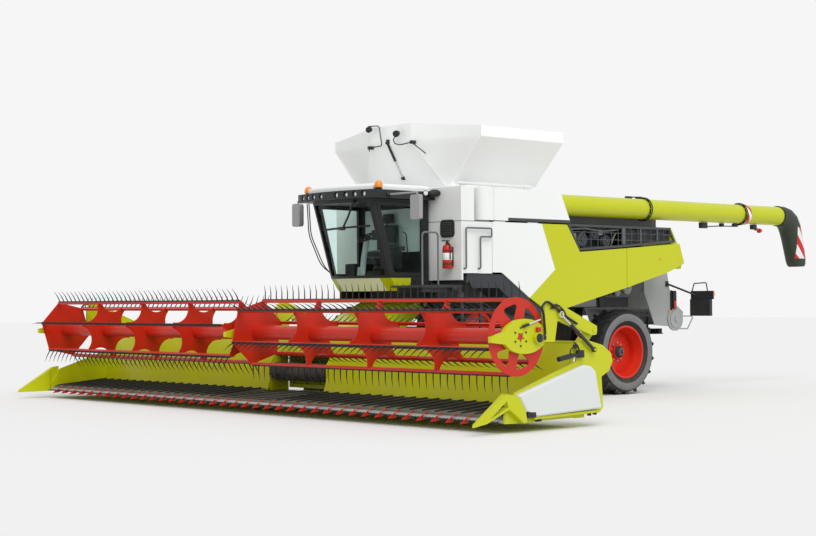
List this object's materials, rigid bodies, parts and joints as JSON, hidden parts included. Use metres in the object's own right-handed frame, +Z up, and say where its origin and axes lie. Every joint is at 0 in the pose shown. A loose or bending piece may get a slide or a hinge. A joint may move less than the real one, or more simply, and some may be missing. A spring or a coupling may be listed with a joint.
{
  "type": "combine harvester",
  "caption": "Self-propelled combine harvester on front crawler tracks and steered rear wheels, with a wide draper header, open grain tank covers and a folded unloading auger.",
  "frame": {"origin": "on the ground, midway along and across the whole machine", "axes": "+Z up; the machine drives toward -Y, so +Y points to its rear and +X to its own left side"},
  "size_m": [12.57, 15, 5.03],
  "materials": {
    "lime_paint": "gloss farm-machine lime green paint",
    "white_paint": "off-white paint",
    "grey_paint": "light grey paint",
    "dark_frame": "black chassis paint",
    "dark_plastic": "dark grey moulded plastic",
    "red_paint": "red paint",
    "track_rubber": "black rubber",
    "tyre": "tyre rubber",
    "glass": "tinted safety glass",
    "lamp": "clear and amber lamp lenses",
    "rod_steel": "chromed rod",
    "tine_plastic": "black tines",
    "trim": "black cab trim"
  },
  "bodies": {
    "chassis": {"cab_frame": "trim", "cab_glass": "glass", "cab_interior": "trim", "cab_roof": "white_paint", "chassis_frame": "dark_frame", "engine": "grey_paint", "engine_grilles": "dark_plastic", "engine_hood": "dark_plastic", "front_axle": "dark_frame", "grain_tank": "grey_paint", "lamps": "lamp", "mirrors": "trim", "platform": "dark_frame", "rear_axle": "dark_frame", "rear_hood": "grey_paint", "rear_lamp_arms": "dark_frame", "rear_panels": "lime_paint", "threshing_housing": "grey_paint", "track_belts": "track_rubber", "track_fenders": "dark_plastic", "track_units": "red_paint", "upper_body": "white_paint"},
    "header": {"feeder_house": "lime_paint", "header_frame": "lime_paint", "header_end_covers": "white_paint", "crop_dividers": "lime_paint", "cutterbar": "red_paint", "draper_belts": "track_rubber"},
    "header_barrels": {"header_lift_barrels": "dark_frame"},
    "header_rods": {"header_lift_rods": "rod_steel"},
    "intake": {"intake_drum": "dark_frame"},
    "reel_frame": {"reel_arms": "lime_paint"},
    "reel_left_half": {"reel_left": "red_paint", "reel_tines_left": "tine_plastic"},
    "reel_right_half": {"reel_right": "red_paint", "reel_tines_right": "tine_plastic"},
    "reel_barrels": {"reel_lift_barrels": "dark_frame"},
    "reel_rods": {"reel_lift_rods": "rod_steel"},
    "knuckle_left": {"steering_knuckle_left": "dark_frame"},
    "knuckle_right": {"steering_knuckle_right": "dark_frame"},
    "wheel_left": {"rear_tyre_left": "tyre", "rear_rim_left": "red_paint"},
    "wheel_right": {"rear_tyre_right": "tyre", "rear_rim_right": "red_paint"},
    "auger": {"auger_tube": "lime_paint", "auger_fairing": "white_paint", "auger_spout": "dark_plastic"},
    "cover_left": {"tank_cover_left": "white_paint"},
    "cover_right": {"tank_cover_right": "white_paint"},
    "cover_front": {"tank_cover_front": "white_paint"},
    "cover_rear": {"tank_cover_rear": "white_paint"},
    "door": {"cab_door": "trim", "cab_door_glass": "glass"},
    "ladder": {"access_ladder": "dark_frame"},
    "side_door_left": {"side_panel_white_left": "white_paint", "side_panel_lime_left": "lime_paint"},
    "side_door_right": {"side_panel_white_right": "white_paint", "side_panel_lime_right": "lime_paint"},
    "rotor_left": {"spreader_rotor_left": "dark_frame"},
    "rotor_right": {"spreader_rotor_right": "dark_frame"}
  },
  "joints": [
    {"name": "feeder_lift", "type": "hinge", "parent": "chassis", "child": "header", "pos_m": [0, -3.33, 1.78], "axis": [-1, 0, 0], "range_deg": [0, 18]},
    {"name": "header_barrel_pivot", "type": "hinge", "parent": "chassis", "child": "header_barrels", "pos_m": [0, -3.07, 1.15], "axis": [-1, 0, 0], "range_deg": [-1, 17]},
    {"name": "header_rod_slide", "type": "slide", "parent": "header_barrels", "child": "header_rods", "axis": [0, -0.9693, -0.246], "range_m": [-0.005, 0.215]},
    {"name": "intake_drum_spin", "type": "hinge", "parent": "header", "child": "intake", "pos_m": [0, -5.43, 0.625], "axis": [1, 0, 0], "continuous": true},
    {"name": "reel_lift", "type": "hinge", "parent": "header", "child": "reel_frame", "pos_m": [0, -4.97, 1.4], "axis": [-1, 0, 0], "range_deg": [-5, 22]},
    {"name": "reel_barrel_pivot", "type": "hinge", "parent": "header", "child": "reel_barrels", "pos_m": [0, -5.02, 1.12], "axis": [-1, 0, 0], "range_deg": [-6, 20]},
    {"name": "reel_rod_slide", "type": "slide", "parent": "reel_barrels", "child": "reel_rods", "axis": [0, -0.8028, 0.5963], "range_m": [-0.025, 0.095]},
    {"name": "reel_left_spin", "type": "hinge", "parent": "reel_frame", "child": "reel_left_half", "pos_m": [0, -6.514, 1.333], "axis": [1, 0, 0], "continuous": true},
    {"name": "reel_right_spin", "type": "hinge", "parent": "reel_frame", "child": "reel_right_half", "pos_m": [0, -6.514, 1.333], "axis": [1, 0, 0], "continuous": true},
    {"name": "steering_left", "type": "hinge", "parent": "chassis", "child": "knuckle_left", "pos_m": [0.9, 1.275, 0.823], "axis": [0, 0, 1], "range_deg": [-45, 45]},
    {"name": "steering_right", "type": "hinge", "parent": "chassis", "child": "knuckle_right", "pos_m": [-0.9, 1.275, 0.823], "axis": [0, 0, 1], "range_deg": [-45, 45]},
    {"name": "wheel_left_spin", "type": "hinge", "parent": "knuckle_left", "child": "wheel_left", "pos_m": [1.348, 1.275, 0.823], "axis": [1, 0, 0], "continuous": true},
    {"name": "wheel_right_spin", "type": "hinge", "parent": "knuckle_right", "child": "wheel_right", "pos_m": [-1.348, 1.275, 0.823], "axis": [1, 0, 0], "continuous": true},
    {"name": "auger_swing", "type": "hinge", "parent": "chassis", "child": "auger", "pos_m": [1.5, -2.585, 3.3], "axis": [0, 0, -1], "range_deg": [0, 105]},
    {"name": "cover_left_fold", "type": "hinge", "parent": "chassis", "child": "cover_left", "pos_m": [1.275, -2, 3.935], "axis": [0, -1, 0], "range_deg": [0, 133]},
    {"name": "cover_right_fold", "type": "hinge", "parent": "chassis", "child": "cover_right", "pos_m": [-1.275, -2, 3.935], "axis": [0, 1, 0], "range_deg": [0, 133]},
    {"name": "cover_front_fold", "type": "hinge", "parent": "chassis", "child": "cover_front", "pos_m": [0, -2.995, 3.76], "axis": [-1, 0, 0], "range_deg": [0, 113]},
    {"name": "cover_rear_fold", "type": "hinge", "parent": "chassis", "child": "cover_rear", "pos_m": [0, -1.08213, 3.57], "axis": [1, 0, 0], "range_deg": [0, 113]},
    {"name": "cab_door_swing", "type": "hinge", "parent": "chassis", "child": "door", "pos_m": [0.908, -3.402, 2.9], "axis": [0, 0, 1], "range_deg": [0, 60]},
    {"name": "ladder_swing", "type": "hinge", "parent": "chassis", "child": "ladder", "pos_m": [1.8, -3.43, 1.94], "axis": [0, 0, -1], "range_deg": [0, 90]},
    {"name": "side_door_left_lift", "type": "hinge", "parent": "chassis", "child": "side_door_left", "pos_m": [1.691, -0.97, 3.24], "axis": [0, -1, 0], "range_deg": [0, 70]},
    {"name": "side_door_right_lift", "type": "hinge", "parent": "chassis", "child": "side_door_right", "pos_m": [-1.691, -0.97, 3.24], "axis": [0, 1, 0], "range_deg": [0, 70]},
    {"name": "rotor_left_spin", "type": "hinge", "parent": "chassis", "child": "rotor_left", "pos_m": [0.42, 3.33, 1.5], "axis": [0, 0, 1], "continuous": true},
    {"name": "rotor_right_spin", "type": "hinge", "parent": "chassis", "child": "rotor_right", "pos_m": [-0.42, 3.33, 1.5], "axis": [0, 0, -1], "continuous": true}
  ],
  "couplings": [
    {"joint": "header_barrel_pivot", "follows": "feeder_lift", "ratio": 0.8823},
    {"joint": "header_rod_slide", "follows": "feeder_lift", "m_per_rad": 0.65867},
    {"joint": "reel_barrel_pivot", "follows": "reel_lift", "ratio": 0.8282},
    {"joint": "reel_rod_slide", "follows": "reel_lift", "m_per_rad": 0.23657},
    {"joint": "reel_right_spin", "follows": "reel_left_spin", "ratio": 1},
    {"joint": "steering_right", "follows": "steering_left", "ratio": 1},
    {"joint": "cover_right_fold", "follows": "cover_left_fold", "ratio": 1},
    {"joint": "cover_front_fold", "follows": "cover_left_fold", "ratio": 0.8496},
    {"joint": "cover_rear_fold", "follows": "cover_left_fold", "ratio": 0.8496}
  ]
}
